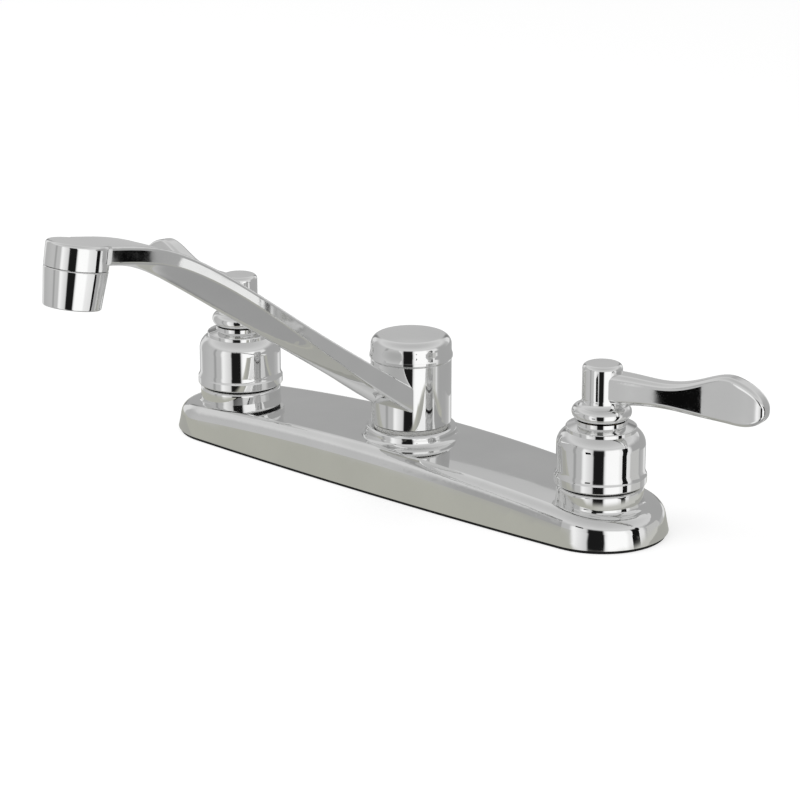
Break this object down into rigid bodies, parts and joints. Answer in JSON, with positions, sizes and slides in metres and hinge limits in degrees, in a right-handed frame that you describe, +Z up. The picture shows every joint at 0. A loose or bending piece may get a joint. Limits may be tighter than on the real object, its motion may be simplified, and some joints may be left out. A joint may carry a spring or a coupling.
{
  "type": "kitchen faucet",
  "caption": "Deck-mounted kitchen faucet with lever handles on bell escutcheons and a low rising swivel spout on a crowned deck plate.",
  "frame": {"origin": "centre of the gasket underside, on the deck surface and on the spout axis", "axes": "+Z up along the spout axis, +X along the deck plate towards the cold handle, the spout points along -Y at rest"},
  "size_m": [0.3482, 0.2306, 0.1993],
  "materials": {
    "chrome": "polished chrome plating",
    "brass": "machined brass",
    "copper_tube": "drawn copper tube",
    "rubber": "matte black rubber",
    "ceramic": "lapped white ceramic",
    "plastic": "moulded acetal",
    "steel": "stainless steel"
  },
  "bodies": {
    "base": {"deck_plate": "chrome", "deck_gasket": "rubber", "centre_tee": "brass", "spout_orings": "rubber", "thrust_washer": "plastic", "retaining_ring": "plastic", "retaining_nut": "brass", "mounting_nuts": "plastic", "mounting_washers": "steel", "hot_valve_body": "brass", "cold_valve_body": "brass", "hot_cross_tube": "copper_tube", "cold_cross_tube": "copper_tube", "hot_cartridge_body": "brass", "cold_cartridge_body": "brass", "hot_fixed_disc": "ceramic", "cold_fixed_disc": "ceramic", "hot_seat_seal": "rubber", "cold_seat_seal": "rubber", "hot_bell_seal": "rubber", "cold_bell_seal": "rubber", "hot_bell": "chrome", "cold_bell": "chrome"},
    "spout_body": {"spout": "chrome", "spout_cap": "chrome", "aerator_housing": "chrome", "aerator_insert": "plastic", "aerator_screen": "steel", "aerator_washer": "rubber"},
    "hot_handle": {"hot_lever": "chrome", "hot_stem": "brass", "hot_moving_disc": "ceramic", "hot_set_screw": "steel", "hot_stem_oring": "rubber"},
    "cold_handle": {"cold_lever": "chrome", "cold_stem": "brass", "cold_moving_disc": "ceramic", "cold_set_screw": "steel", "cold_stem_oring": "rubber"}
  },
  "joints": [
    {"name": "spout_swivel", "type": "hinge", "parent": "base", "child": "spout_body", "pos_m": [0, 0, 0.04], "axis": [0, 0, 1], "continuous": true},
    {"name": "hot_handle_turn", "type": "hinge", "parent": "base", "child": "hot_handle", "pos_m": [-0.1016, 0, 0.04], "axis": [0, 0, 1], "range_deg": [0, 90]},
    {"name": "cold_handle_turn", "type": "hinge", "parent": "base", "child": "cold_handle", "pos_m": [0.1016, 0, 0.04], "axis": [0, 0, 1], "range_deg": [-90, 0]}
  ]
}
